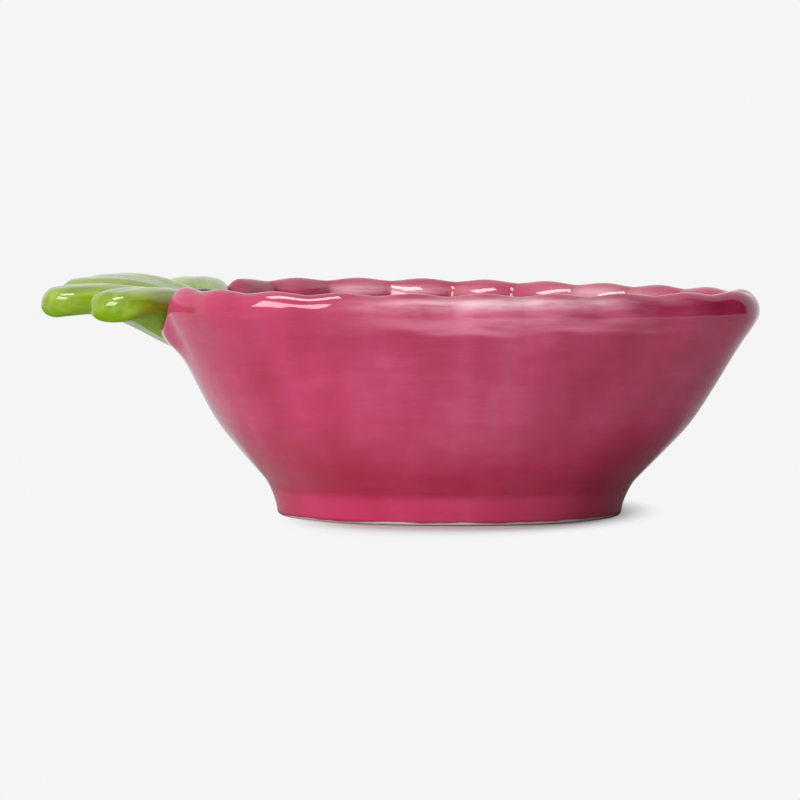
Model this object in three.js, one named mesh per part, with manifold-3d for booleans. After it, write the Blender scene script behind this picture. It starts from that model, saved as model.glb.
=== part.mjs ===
// A glazed ceramic bowl shaped like a raspberry lying on its side. The wall is lofted from an oval foot
// to a berry-shaped rim, with drupelets pressed into its inside and beading its rim. A calyx of five
// sepals round a hub with a stalk stub sits on a shelf at the blunt end and serves as the handle.

import * as THREE from "three";
import { LoftGeometry } from "three/addons/geometries/LoftGeometry.js";
import { mergeVertices } from "three/addons/utils/BufferGeometryUtils.js";
import Module from "manifold-3d";

// Sizes in millimetres, measured from the middle of the foot, with the table at height 0

// Foot ring: it flares upwards, by a share of the way out from the foot to the rim
const FOOT_LENGTH = 86.4;
const FOOT_WIDTH = 79;
const FOOT_HEIGHT = 7.5;
const FOOT_FLARE_SHARE = 0.07;
const FOOT_FLARE_CURVE = 1.5;
const FOOT_RING_WIDTH = 6.5;
const FOOT_EDGE_RADIUS = 1.4;
const RECESS_DEPTH = 3.4;

// Rim outline, without its drupelets
const TIP_REACH = 78.0;
const CALYX_REACH = 72.6;
const RIM_HALF_WIDTH = 54;
const TIP_TAPER = 0.32;

// Rim section
const LIP_HEIGHT = 51.3;
const LIP_RISE = 5.0;
const LIP_WIDTH = 7.2;
const RIM_TILT = 0.5;

// Outer wall: points from foot to rim, as shares of the way out and of the way up
const WALL_SHAPE = [
  [0, 0],
  [0.028, 0.03],
  [0.08, 0.07],
  [0.256, 0.2],
  [0.47, 0.37],
  [0.663, 0.585],
  [0.85, 0.815],
  [0.952, 0.925],
  [0.99, 0.98],
  [1, 1],
];

// How far the long sides of the bowl swell out beyond that shape
const BELLY = 3.0;

// Inside: its floor, and how far out and up the bend between floor and wall lies
const FLOOR_INSET = 4.0;
const FLOOR_HEIGHT = 9.0;
const BEND_SHARE = 0.36;
const BEND_RISE = 6.0;

// Drupelets
const RIM_DRUPELETS = 23;
const RIM_DRUPELET_SHIFT = 0.5;
const DRUPELETS_IN_ROWS = [RIM_DRUPELETS, 21, 18, 15, 12, 8, 5];
const DRUPELET_OUT = 0.4;
const DRUPELET_UP = 0.8;
const DRUPELET_IN = 2.6;
const DRUPELET_IN_AT_FLOOR = 1.5;
const DRUPELET_FADE_START = 36;
const ROW_REACH = 0.66;
const CREASE_SHARE = 0.8;

// Calyx shelf in the rim
const SHELF_HALF_LENGTH = 25;
const SHELF_BLEND = 9;
const SHELF_DROP = 5.2;
const SHELF_WIDTH = 9.5;

// Calyx: its middle lies in from the blunt end of the rim, and it leans up towards the far side
const CALYX_INSET = 9.7;
const CALYX_LEAN = 0.045;
const HUB_RADIUS = 8.5;
const HUB_DROP = 0.9;
const HUB_THICKNESS = 6.4;
const HUB_EDGE_RADIUS = 2.4;

// Sepals: heights run from the top of the lip, spreads in degrees from the berry's axis
const SEPAL_LENGTHS = { front: 40.3, long: 41.5, middle: 38, rear: 43.5, back: 36 };
const SEPAL_SPREAD = { front: 65, long: 26, middle: -7, rear: -37, back: -72 };
const SEPAL_RISES = { front: 1.9, long: 1.7, middle: 2.3, rear: 1.9, back: 0.8 };
const SEPAL_WIDTH = 17.5;
const SEPAL_ROOT_WIDTH = 18;
const SEPAL_WIDTH_SHARE = 0.4;
const SEPAL_THICKNESS = 7.5;
const SEPAL_ROOT_DEPTH = 14.6;
const SEPAL_THINNING_START = 3;
const SEPAL_THINNING_LENGTH = 28;
const SEPAL_ROOT_DROP = 3;
const SEPAL_TIP_DROP = 1;
const SEPAL_CREST_SHARE = 0.45;
const SEPAL_TIP_LENGTH = 9;
const SEPAL_TIP_ROUNDING = 4;
const SEPAL_ROOT_START = 6;
const SEPAL_FULLNESS = 0.8;
const SEPAL_TIP_END = 0.995;

// Stalk stub, standing up out of the hub
const STUB_RADIUS = 3.4;
const STUB_RISE = 0.8;
const STUB_DOME = 1.7;

// Gap between pieces that are cut to each other
const CLEARANCE = 0.3;

// Fineness of the facets
const COLUMNS = 4 * RIM_DRUPELETS;
const WALL_RINGS = 10;
const LIP_RINGS = 5;
const RINGS_PER_ROW = 3;
const FOOT_EDGE_RINGS = 4;
const FOOT_FLARE_RINGS = 3;
const SEPAL_POINTS = 16;
const SEPAL_STATIONS = 10;
const TURNED_SEGMENTS = 24;
const TURNED_RINGS = 4;

const { lerp, clamp, smoothstep, degToRad } = THREE.MathUtils;

// A closed outline in plan, starting at the berry's tip, taken by its arc length
class Outline extends THREE.Curve {
  constructor(tipReach, calyxReach, halfWidth, taper) {
    super();
    this.middle = (tipReach - calyxReach) / 2;
    this.halfLength = (tipReach + calyxReach) / 2;
    this.halfWidth = halfWidth;
    this.taper = taper;
    this.arcLengthDivisions = 1440;
  }

  getPoint(t, target = new THREE.Vector2()) {
    const angle = 2 * Math.PI * t;
    const x = this.middle + this.halfLength * Math.cos(angle);
    const y = this.halfWidth * Math.sin(angle) * (1 - this.taper * Math.cos(angle));
    return target.set(x, y);
  }

  // The point a share u round the outline, moved outwards by offset
  outwards(u, offset) {
    const point = this.getPointAt(u);
    const along = this.getTangentAt(u);
    return point.add(new THREE.Vector2(along.y, -along.x).multiplyScalar(offset));
  }
}

const footOutline = new Outline(FOOT_LENGTH / 2, FOOT_LENGTH / 2, FOOT_WIDTH / 2, 0);
const rimOutline = new Outline(TIP_REACH, CALYX_REACH, RIM_HALF_WIDTH, TIP_TAPER);
const rimLength = rimOutline.getLength();

// The outer wall's profile: x is the share of the way from foot to rim, y the height
const wallProfile = new THREE.SplineCurve(
  WALL_SHAPE.map(([out, up]) => new THREE.Vector2(out, lerp(FOOT_HEIGHT, LIP_HEIGHT, up))),
);

// The inside's profile in a middle section: x is the distance from the centre, y the height
const FLOOR_RADIUS = (FOOT_LENGTH + FOOT_WIDTH) / 4 - FLOOR_INSET;
const MOUTH_RADIUS = rimLength / (2 * Math.PI) - LIP_WIDTH;
const insideProfile = new THREE.CubicBezierCurve(
  new THREE.Vector2(MOUTH_RADIUS, LIP_HEIGHT),
  new THREE.Vector2(lerp(FLOOR_RADIUS, MOUTH_RADIUS, BEND_SHARE), FLOOR_HEIGHT + BEND_RISE),
  new THREE.Vector2(FLOOR_RADIUS, FLOOR_HEIGHT),
  new THREE.Vector2(0, FLOOR_HEIGHT),
);

function ring(pointAt) {
  return Array.from({ length: COLUMNS }, (_, column) => pointAt(column / COLUMNS));
}

function upright(planPoint, height) {
  return new THREE.Vector3(planPoint.x, planPoint.y, height);
}

// Share of the calyx shelf at u: 1 on the shelf, 0 on the drupelet rim
function shelfShare(u) {
  const fromMiddle = Math.abs(u - 0.5) * rimLength;
  return 1 - smoothstep(fromMiddle, SHELF_HALF_LENGTH, SHELF_HALF_LENGTH + SHELF_BLEND);
}

// Height of a row's drupelets across u: 1 on a crest, 0 in the crease between two
function acrossRow(u, count, shift) {
  const place = u * count - shift;
  return 1 - 4 * (place - Math.round(place)) ** 2;
}

function rimDrupelet(u) {
  return acrossRow(u, RIM_DRUPELETS, RIM_DRUPELET_SHIFT) * (1 - shelfShare(u));
}

// The drupelets over the inside: rows at even steps down the profile, each row turned by half a drupelet
function insideDrupelet(u, v) {
  const rows = DRUPELETS_IN_ROWS.length;
  const centre = 1 - ((1 - v) * rows / ROW_REACH) ** 2;
  const heights = DRUPELETS_IN_ROWS.map((count, row) => {
    const across = acrossRow(u, count, RIM_DRUPELET_SHIFT + row / 2);
    const along = ((v * rows - row) / ROW_REACH) ** 2;
    return 1 - CREASE_SHARE * (1 - across) - along;
  });
  return Math.max(0, centre, ...heights);
}

// How far the rim stands above its mean height: it rises a little towards the calyx
function rimRise(u) {
  return -RIM_TILT * Math.cos(2 * Math.PI * u) - SHELF_DROP * shelfShare(u);
}

// The swelling of the long sides, which is greatest a third of the way up
function belly(u, height) {
  const up = clamp((height - FOOT_HEIGHT) / (LIP_HEIGHT - FOOT_HEIGHT), 0, 1);
  const atPeak = 4 / 27;
  return BELLY * Math.sin(2 * Math.PI * u) ** 2 * up * (1 - up) ** 2 / atPeak;
}

// The outer wall at a share of its profile, with the rim's drupelets fading into it
function wallPoint(u, share, grow) {
  const profile = wallProfile.getPoint(share);
  const wayOut = lerp(FOOT_FLARE_SHARE, 1, profile.x);
  const swollen = grow + belly(u, profile.y);
  const plan = footOutline.outwards(u, swollen).lerp(rimOutline.outwards(u, swollen), wayOut);
  const fade = smoothstep(profile.y, DRUPELET_FADE_START, LIP_HEIGHT);
  const along = rimOutline.getTangentAt(u);
  const outwards = new THREE.Vector2(along.y, -along.x).multiplyScalar(DRUPELET_OUT * rimDrupelet(u) * fade);
  return upright(plan.add(outwards), profile.y + rimRise(u) * fade);
}

// The rounded lip: turn runs from 0 at the outer wall to 1 at the inside
function lipPoint(u, turn, grow) {
  const angle = Math.PI * turn;
  const width = LIP_WIDTH + SHELF_WIDTH * shelfShare(u);
  const swell = rimDrupelet(u);
  const side = Math.cos(angle) > 0 ? DRUPELET_OUT : DRUPELET_IN;
  const reach = width / 2 + grow + side * swell * Math.abs(Math.cos(angle));
  const rise = LIP_RISE + grow + DRUPELET_UP * swell;
  const offset = -width / 2 + reach * Math.cos(angle);
  return upright(rimOutline.outwards(u, offset), LIP_HEIGHT + rimRise(u) + rise * Math.sin(angle));
}

// The inside without its drupelets: v runs from 0 at the lip to 1 at the middle of the floor
function insideBase(u, v, grow) {
  const profile = insideProfile.getPointAt(v);
  const swollen = belly(u, profile.y) - grow;
  const low = footOutline.outwards(u, swollen - FLOOR_INSET);
  const high = rimOutline.outwards(u, swollen - LIP_WIDTH - SHELF_WIDTH * shelfShare(u));
  const share = (profile.x - FLOOR_RADIUS) / (MOUTH_RADIUS - FLOOR_RADIUS);
  const plan = share > 0 ? low.lerp(high, share) : low.multiplyScalar(profile.x / FLOOR_RADIUS);
  const nearRim = smoothstep(profile.y, FLOOR_HEIGHT, LIP_HEIGHT);
  return upright(plan, profile.y + rimRise(u) * nearRim);
}

const STEP = 1e-3;
function insidePoint(u, v, grow) {
  const point = insideBase(u, v, grow);
  const across = insideBase((u + STEP) % 1, v, grow).sub(insideBase((u + 1 - STEP) % 1, v, grow));
  const along = insideBase(u, Math.min(v + STEP, 1), grow).sub(insideBase(u, Math.max(v - STEP, 0), grow));
  const normal = across.cross(along).normalize();
  const nearRim = (1 - v) ** 3;
  const height = lerp(DRUPELET_IN, DRUPELET_IN_AT_FLOOR, v) * insideDrupelet(u, v);
  return point.addScaledVector(normal, height * (1 - nearRim * shelfShare(u)));
}

// The whole bowl wall, or with grow above 0 the space that its neighbours keep clear of
function bowlGeometry(grow) {
  const bossOffset = -FOOT_RING_WIDTH - CLEARANCE;
  const sections = [
    ring((u) => upright(footOutline.outwards(u, bossOffset), RECESS_DEPTH)),
    ring((u) => upright(footOutline.outwards(u, bossOffset), FOOT_HEIGHT)),
  ];
  for (let i = 0; i < WALL_RINGS; i += 1) {
    sections.push(ring((u) => wallPoint(u, i / WALL_RINGS, grow)));
  }
  for (let i = 0; i <= LIP_RINGS; i += 1) {
    sections.push(ring((u) => lipPoint(u, i / LIP_RINGS, grow)));
  }
  const insideRings = DRUPELETS_IN_ROWS.length * RINGS_PER_ROW;
  for (let i = 1; i < insideRings; i += 1) {
    sections.push(ring((u) => insidePoint(u, i / insideRings, grow)));
  }
  return new LoftGeometry(sections, { capStart: true, capEnd: true });
}

// The foot ring: a collar round the boss under the bowl, flared upwards, with a rounded lower edge
function footRingGeometry() {
  const atFoot = (offset, height) => ring((u) => upright(footOutline.outwards(u, offset), height));
  const outside = Array.from({ length: FOOT_EDGE_RINGS + 1 }, (_, i) => {
    const angle = i / FOOT_EDGE_RINGS * Math.PI / 2;
    const inset = FOOT_EDGE_RADIUS * (1 - Math.sin(angle));
    return atFoot(-inset, FOOT_EDGE_RADIUS * (1 - Math.cos(angle)));
  });
  const flare = Array.from({ length: FOOT_FLARE_RINGS }, (_, i) => {
    const share = (i + 1) / FOOT_FLARE_RINGS;
    const wayOut = FOOT_FLARE_SHARE * share ** FOOT_FLARE_CURVE;
    const height = lerp(FOOT_EDGE_RADIUS, FOOT_HEIGHT, share);
    return ring((u) => upright(footOutline.getPointAt(u).lerp(rimOutline.getPointAt(u), wayOut), height));
  });
  const insideBottom = atFoot(-FOOT_RING_WIDTH, 0);
  const insideTop = atFoot(-FOOT_RING_WIDTH, FOOT_HEIGHT);
  const sections = [insideBottom, ...outside, ...flare, insideTop, insideBottom];
  return new LoftGeometry(sections);
}

const LIP_TOP = LIP_HEIGHT + LIP_RISE;
const calyxMiddle = new THREE.Vector2(CALYX_INSET - CALYX_REACH, 0);

// A round body turned about the calyx's middle, with its upper edge rounded
function turnedGeometry(radius, base, top, edgeWidth, edgeHeight) {
  const profile = [new THREE.Vector2(0, base), new THREE.Vector2(radius, base)];
  for (let i = 0; i <= TURNED_RINGS; i += 1) {
    const angle = i / TURNED_RINGS * Math.PI / 2;
    const distance = radius - edgeWidth * (1 - Math.cos(angle));
    profile.push(new THREE.Vector2(distance, top - edgeHeight * (1 - Math.sin(angle))));
  }
  profile.push(new THREE.Vector2(0, top));
  const geometry = new THREE.LatheGeometry(profile, TURNED_SEGMENTS);
  return geometry.rotateX(Math.PI / 2).translate(calyxMiddle.x, calyxMiddle.y, 0);
}

// The hub: a low cushion on the shelf, from which the sepals spread
const HUB_TOP = LIP_TOP - HUB_DROP;
function hubGeometry(grow) {
  const base = HUB_TOP - HUB_THICKNESS - grow;
  return turnedGeometry(HUB_RADIUS + grow, base, HUB_TOP + grow, HUB_EDGE_RADIUS, HUB_EDGE_RADIUS);
}

// The stalk stub: a short upright peg through the hub, with a domed top
function stubGeometry(grow) {
  const radius = STUB_RADIUS + grow;
  const flat = STUB_RADIUS / TURNED_SEGMENTS;
  return turnedGeometry(radius, HUB_TOP - HUB_THICKNESS, HUB_TOP + STUB_RISE + grow, radius - flat, STUB_DOME);
}

// Sections are fuller than ellipses
function fuller(value) {
  return Math.sign(value) * Math.abs(value) ** SEPAL_FULLNESS;
}

// How far a section is drawn in at a distance past the start of a rounded end, which stops short of a point
function rounding(pastStart, endLength) {
  return Math.sqrt(1 - clamp(pastStart / endLength, 0, SEPAL_TIP_END) ** 2);
}

// A sepal: a rounded tongue lofted from its root by the hub to its tip, grown all round by grow
function sepalGeometry(name, grow) {
  const length = SEPAL_LENGTHS[name];
  const heading = degToRad(SEPAL_SPREAD[name]);
  const along = new THREE.Vector2(-Math.cos(heading), -Math.sin(heading));
  const across = new THREE.Vector2(-along.y, along.x);
  const crest = LIP_TOP + SEPAL_RISES[name];
  const topLine = new THREE.QuadraticBezierCurve(
    new THREE.Vector2(SEPAL_ROOT_START, crest - SEPAL_ROOT_DROP),
    new THREE.Vector2(length * SEPAL_CREST_SHARE, crest + (SEPAL_ROOT_DROP + SEPAL_TIP_DROP) / 2),
    new THREE.Vector2(length, crest - SEPAL_TIP_DROP),
  );
  const thinningEnd = SEPAL_THINNING_START + SEPAL_THINNING_LENGTH;
  const station = (share) => {
    const eased = Math.sin(share * Math.PI / 2);
    const distance = lerp(SEPAL_ROOT_START - grow, length + grow, eased);
    const narrowing = rounding(distance - length + SEPAL_TIP_LENGTH, SEPAL_TIP_LENGTH + grow);
    const flattening = rounding(distance - length + SEPAL_TIP_ROUNDING, SEPAL_TIP_ROUNDING + grow);
    const thinning = smoothstep(distance, SEPAL_THINNING_START, thinningEnd);
    const depth = lerp(SEPAL_ROOT_DEPTH, SEPAL_THICKNESS, thinning);
    const widening = smoothstep(distance, 0, SEPAL_WIDTH_SHARE * length);
    const halfWidth = lerp(SEPAL_ROOT_WIDTH, SEPAL_WIDTH, widening) / 2;
    const middle = calyxMiddle.clone().addScaledVector(along, distance);
    const middleHeight = topLine.getPoint(eased).y - depth / 2;
    return Array.from({ length: SEPAL_POINTS }, (_, i) => {
      const angle = 2 * Math.PI * i / SEPAL_POINTS;
      const sideways = (halfWidth + grow) * narrowing * fuller(Math.cos(angle));
      const upwards = (depth / 2 + grow) * flattening * fuller(Math.sin(angle));
      const point = middle.clone().addScaledVector(across, sideways);
      return upright(point, middleHeight + upwards + CALYX_LEAN * point.y);
    });
  };
  const sections = Array.from({ length: SEPAL_STATIONS }, (_, i) => station(i / (SEPAL_STATIONS - 1)));
  return new LoftGeometry(sections, { capStart: true, capEnd: true });
}

// Joins and cuts
const wasm = await Module();
wasm.setup();

function toSolid(geometry) {
  const bare = new THREE.BufferGeometry().copy(geometry);
  bare.deleteAttribute("normal");
  bare.deleteAttribute("uv");
  const merged = mergeVertices(bare, 1e-4);
  const vertProperties = Float32Array.from(merged.getAttribute("position").array);
  const triVerts = Uint32Array.from(merged.getIndex().array);
  return new wasm.Manifold(new wasm.Mesh({ numProp: 3, vertProperties, triVerts }));
}

// A cut can leave loose slivers beside a piece, and only its main body is kept
function mainBody(solid) {
  return solid.decompose().reduce((main, body) => (body.volume() > main.volume() ? body : main));
}

function toGeometry(solid) {
  const mesh = solid.getMesh();
  const geometry = new THREE.BufferGeometry();
  geometry.setAttribute("position", new THREE.BufferAttribute(mesh.vertProperties, 3));
  geometry.setIndex(new THREE.BufferAttribute(mesh.triVerts, 1));
  geometry.computeVertexNormals();
  return geometry;
}

// Materials
const glaze = (color) => new THREE.MeshStandardMaterial({ color, roughness: 0.15, metalness: 0 });
const raspberryGlaze = glaze(0xc8527a);
const leafGlaze = glaze(0x8fa83a);
const stubGlaze = glaze(0x23301c);

// The assembly
const bowl = new THREE.Group();

function addPiece(name, geometry, material) {
  const piece = new THREE.Mesh(geometry, material);
  piece.name = name;
  bowl.add(piece);
}

addPiece("bowl_wall", bowlGeometry(0), raspberryGlaze);
addPiece("foot_ring", footRingGeometry(), raspberryGlaze);

const wallSpace = toSolid(bowlGeometry(CLEARANCE));
addPiece("stalk_stub", toGeometry(toSolid(stubGeometry(0)).subtract(wallSpace)), stubGlaze);

let takenSpace = wallSpace.add(toSolid(stubGeometry(CLEARANCE)));
addPiece("calyx_hub", toGeometry(toSolid(hubGeometry(0)).subtract(takenSpace)), leafGlaze);
takenSpace = takenSpace.add(toSolid(hubGeometry(CLEARANCE)));

for (const name of ["long", "middle", "rear", "front", "back"]) {
  const sepal = mainBody(toSolid(sepalGeometry(name, 0)).subtract(takenSpace));
  addPiece(`sepal_${name}`, toGeometry(sepal), leafGlaze);
  takenSpace = takenSpace.add(toSolid(sepalGeometry(name, CLEARANCE)));
}

// The origin is the middle of the whole object's outline, on the table
const extent = new THREE.Box3().setFromObject(bowl);
const middle = extent.getCenter(new THREE.Vector3());
bowl.position.set(-middle.x, -middle.y, -extent.min.z);

export default bowl;
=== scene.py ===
# Looks of a glazed ceramic bowl shaped like a raspberry, with a calyx of sepals as its handle.
# Lengths are in metres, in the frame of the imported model.

import math

import bpy
import numpy as np
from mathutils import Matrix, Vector

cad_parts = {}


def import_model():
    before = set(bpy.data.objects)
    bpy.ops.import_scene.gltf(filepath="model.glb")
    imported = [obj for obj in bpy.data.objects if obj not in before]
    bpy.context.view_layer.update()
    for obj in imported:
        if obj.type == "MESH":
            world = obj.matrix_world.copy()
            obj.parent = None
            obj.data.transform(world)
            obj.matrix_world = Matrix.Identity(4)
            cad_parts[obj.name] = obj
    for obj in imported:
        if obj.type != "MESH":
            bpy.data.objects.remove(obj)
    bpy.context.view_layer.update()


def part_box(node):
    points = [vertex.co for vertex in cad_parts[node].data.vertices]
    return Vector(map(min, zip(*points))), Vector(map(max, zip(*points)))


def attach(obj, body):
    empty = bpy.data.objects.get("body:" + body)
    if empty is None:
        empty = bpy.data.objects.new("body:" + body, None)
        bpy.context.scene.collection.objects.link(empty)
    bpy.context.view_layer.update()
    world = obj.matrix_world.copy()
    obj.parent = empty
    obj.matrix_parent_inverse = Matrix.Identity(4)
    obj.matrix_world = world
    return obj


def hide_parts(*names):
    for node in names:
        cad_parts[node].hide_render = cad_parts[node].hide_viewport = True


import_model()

MM = 0.001

# Place of the foot's middle in the frame
foot_low, foot_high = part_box("foot_ring")
FOOT_MIDDLE_X = (foot_low.x + foot_high.x) / 2

# Foot
FOOT_LENGTH = 86.4 * MM
FOOT_WIDTH = 79 * MM
FOOT_HEIGHT = 7.5 * MM
FOOT_FLARE_SHARE = 0.07
FOOT_FLARE_CURVE = 1.5
FOOT_RING_WIDTH = 6.5 * MM
FOOT_EDGE_RADIUS = 1.4 * MM
FOOT_INNER_RADIUS = 0.6 * MM
FOOT_JOIN_DEPTH = 0.8 * MM
RECESS_DEPTH = 3.4 * MM
BARE_EDGE = 0.9 * MM

# Rim
TIP_REACH = 78.0 * MM
CALYX_REACH = 72.6 * MM
RIM_HALF_WIDTH = 54 * MM
TIP_TAPER = 0.32
LIP_HEIGHT = 51.3 * MM
LIP_RISE = 5.0 * MM
LIP_WIDTH = 7.2 * MM
RIM_TILT = 0.5 * MM
CREASE_ON_LIP = (0.3, 0.8)
LIP_TOP = LIP_HEIGHT + LIP_RISE

# Wall and floor
WALL_SHAPE = [
    (0, 0), (0.028, 0.03), (0.08, 0.07), (0.256, 0.2), (0.47, 0.37),
    (0.663, 0.585), (0.85, 0.815), (0.952, 0.925), (0.99, 0.98), (1, 1),
]
BELLY = 3.0 * MM
FLOOR_INSET = 4.0 * MM
FLOOR_HEIGHT = 9.0 * MM
BEND_SHARE = 0.36
BEND_RISE = 6.0 * MM

# Drupelets
RIM_DRUPELETS = 23
RIM_DRUPELET_SHIFT = 0.5
DRUPELETS_IN_ROWS = [RIM_DRUPELETS, 21, 18, 15, 12, 8, 5]
DRUPELET_OUT = 0.4 * MM
DRUPELET_UP = 0.8 * MM
DRUPELET_IN = 2.6 * MM
DRUPELET_IN_AT_FLOOR = 1.5 * MM
DRUPELET_FADE_START = 36 * MM
ROW_REACH = 0.66
CREASE_SHARE = 0.8
CREASE_SOFTNESS = 0.10
CREASE_START = 0.6

# Calyx shelf
SHELF_HALF_LENGTH = 25 * MM
SHELF_BLEND = 9 * MM
SHELF_DROP = 5.2 * MM
SHELF_WIDTH = 9.5 * MM

# Calyx
CALYX_INSET = 9.7 * MM
CALYX_MIDDLE = np.array([CALYX_INSET - CALYX_REACH, 0])
CALYX_LEAN = 0.045
HUB_RADIUS = 8.5 * MM
HUB_DROP = 0.9 * MM
HUB_TOP = LIP_TOP - HUB_DROP
HUB_THICKNESS = 6.4 * MM
HUB_EDGE_RADIUS = 2.4 * MM

# Sepals
SEPAL_LENGTHS = {
    "front": 40.3 * MM,
    "long": 41.5 * MM,
    "middle": 38 * MM,
    "rear": 43.5 * MM,
    "back": 36 * MM,
}
SEPAL_SPREAD_DEGREES = {"front": 65, "long": 26, "middle": -7, "rear": -37, "back": -72}
SEPAL_RISES = {
    "front": 1.9 * MM,
    "long": 1.7 * MM,
    "middle": 2.3 * MM,
    "rear": 1.9 * MM,
    "back": 0.8 * MM,
}
SEPAL_WIDTH = 17.5 * MM
SEPAL_ROOT_WIDTH = 18 * MM
SEPAL_WIDTH_SHARE = 0.4
SEPAL_THICKNESS = 7.5 * MM
SEPAL_ROOT_DEPTH = 14.6 * MM
SEPAL_THINNING_START = 3 * MM
SEPAL_THINNING_LENGTH = 28 * MM
SEPAL_ROOT_DROP = 3 * MM
SEPAL_TIP_DROP = 1 * MM
SEPAL_CREST_SHARE = 0.45
SEPAL_TIP_LENGTH = 9 * MM
SEPAL_TIP_ROUNDING = 4 * MM
SEPAL_ROOT_START = 6 * MM
SEPAL_FULLNESS = 0.8
SEPAL_TIP_END = 0.9995
VEIN_DEPTH = 0.2 * MM
VEIN_WIDTH = 0.16
VEIN_FADE = 6

# Stalk stub
STUB_RADIUS = 3.4 * MM
STUB_RISE = 0.8 * MM
STUB_DOME = 1.7 * MM

# Glaze on the bowl. A pale band along the rim is given by its middle, reach and strength. The first band, on
# the near front of the rim, is a painted reflection; the other two are glaze brushed thin. A band's lower
# end waves, given by the number of waves round the rim and their share of the band's depth.
RIM_PALE_BANDS = [(0.82, 0.13, 1.0), (0.15, 0.07, 0.5), (0.31, 0.10, 0.6)]
PALE_BAND_DEPTH = 4.6 * MM
PALE_BAND_WAVES = [(9, 0.1), (21, 0.07)]
PALE_BAND_FADE_SHARE = 0.3
# Painted highlight: a near-white line along the outside of the lip, where the pale bands are
HIGHLIGHT_HEIGHT = 3.2 * MM
HIGHLIGHT_SPREAD = 1.2 * MM
# The cove: glaze pooled at the foot's join, with painted shade up the lower wall
COVE_REACH = 24 * MM
COVE_DEPTH = 2 * MM
COVE_POOL_AND_SHADE = 0.55
# Painted light: the foot's face painted a lighter pink, for the light it catches below the wall
FOOT_LIGHT_SHARE = 0.45
# Darker in the lip's valleys and between the drupelets inside: glaze pooled there, with painted shade
OUTER_LIP_POOL_AND_SHADE = 0.25
INNER_LIP_POOL_AND_SHADE = 0.55
INSIDE_POOL_AND_SHADE = 0.7

# Glaze on the sepals. Each range is of the sine or cosine of the angle round a sepal's section.
UNDERSIDE_SHADE = 0.7
UNDERSIDE_RANGE = (-0.1, 0.9)
VEIN_SHADE = 0.1
# Painted reflection: a pale grey-green under the sepals' roots, strongest on the sepals that point straight
# out
ROOT_REFLECTION_START = 22 * MM
ROOT_REFLECTION_END = 36 * MM
ROOT_REFLECTION_RANGE = (0.4, 0.9)
ROOT_REFLECTION_FOCUS = 4
THIN_SHARE = 0.5
THIN_SIDE_RANGE = (0.75, 0.95)
THIN_UPPER_RANGE = (-0.1, 0.3)

# Colours, in the 0 to 255 steps of a screen
PINK_TONES = [(160, 30, 64), (180, 48, 90), (195, 76, 115)]
# Painted reflection along the near rim, also used where the glaze is brushed thin
PINK_REFLECTED_AND_THIN = (226, 126, 156)
# Painted highlight
PINK_HIGHLIGHT = (250, 206, 216)
# Painted light on the foot's face
PINK_FOOT_LIT = (204, 54, 94)
# Pooled glaze and painted shade
PINK_POOLED_AND_SHADED = (160, 8, 42)
LEAF_TONES = [(100, 132, 14), (132, 160, 26), (162, 186, 46)]
LEAF_THIN = (204, 220, 64)
LEAF_UNDERSIDE = (112, 152, 8)
# Painted reflection under the sepals' roots
LEAF_ROOT_REFLECTION = (214, 222, 206)
STUB_TONES = [(22, 30, 22), (52, 60, 38)]
CREAM_TONES = [(222, 212, 196), (240, 235, 225)]
CLAY_TONES = [(214, 200, 180), (240, 232, 218)]
CLAY_EDGE = (246, 238, 226)

# Brushwork: how fine the patterns in the glaze are, per metre, and their shares in its tone
CLOUD_FINENESS = (55, 55, 32)
CLOUD_SHIFT = (4.5, 0, 0)
STROKE_FINENESS = (60, 60, 420)
STROKE_SHARE = 0.22
HAIR_FINENESS = (220, 220, 2200)
HAIR_SHARE = 0.10
LEAF_STROKE_FINENESS = (45, 420, 420)
LEAF_CLOUD_FINENESS = (90, 160, 160)
LEAF_CLOUD_SHARE = 0.4
PATCH_COLOURS = [(0, 0, 0), (255, 255, 255)]
PALE_BAND_PATCHINESS = 0.65
HIGHLIGHT_PATCHINESS = 0.9
BARE_EDGE_FINENESS = 55
PINK_WAVE_FINENESS = 60
LEAF_WAVE_FINENESS = 120
STUB_SPOT_FINENESS = 500
CREAM_CLOUD_FINENESS = 60
CREAM_WAVE_FINENESS = 180
CLAY_GRIT_FINENESS = 1400

# Places of the tones on the patterns' values between 0 and 1
PINK_TONE_PLACES = (0.30, 0.50, 0.70)
LEAF_TONE_PLACES = (0.32, 0.50, 0.68)
STUB_TONE_PLACES = (0.35, 0.7)
CREAM_TONE_PLACES = (0.3, 0.7)
CLAY_TONE_PLACES = (0.3, 0.7)
PATCH_PLACES = (0.34, 0.58)

# Surfaces
UNDER_GLAZE_ROUGHNESS = 0.6
GLAZE_ROUGHNESS = 0.03
GLAZE_IOR = 1.5
THIN_GLAZE_ROUGHNESS = 0.15
THIN_GLAZE_COAT = 0.6
UNDERSIDE_COAT = 0.1
UNDERSIDE_COAT_AT = 0.6
BARE_CLAY_ROUGHNESS = 0.75

# Fineness of the meshes
COLUMNS = 20 * RIM_DRUPELETS
WALL_RINGS = 48
LIP_RINGS = 20
RINGS_PER_ROW = 18
SEPAL_POINTS = 64
SEPAL_STATIONS = 80
TURNED_SEGMENTS = 64
TURNED_RINGS = 12
RECESS_RINGS = 12
FOOT_INNER_RINGS = 7
FOOT_EDGE_RINGS = 9
FOOT_FLARE_RINGS = 10
SOFT_RINGS_BELOW_LIP = 12
SOFT_RINGS_ON_LIP = 2
SOFTENING_PASSES = 14
FIRST_RING_SHARE = 0.1
OUTLINE_STEPS = 20000
CURVE_STEPS = 4000

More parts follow.
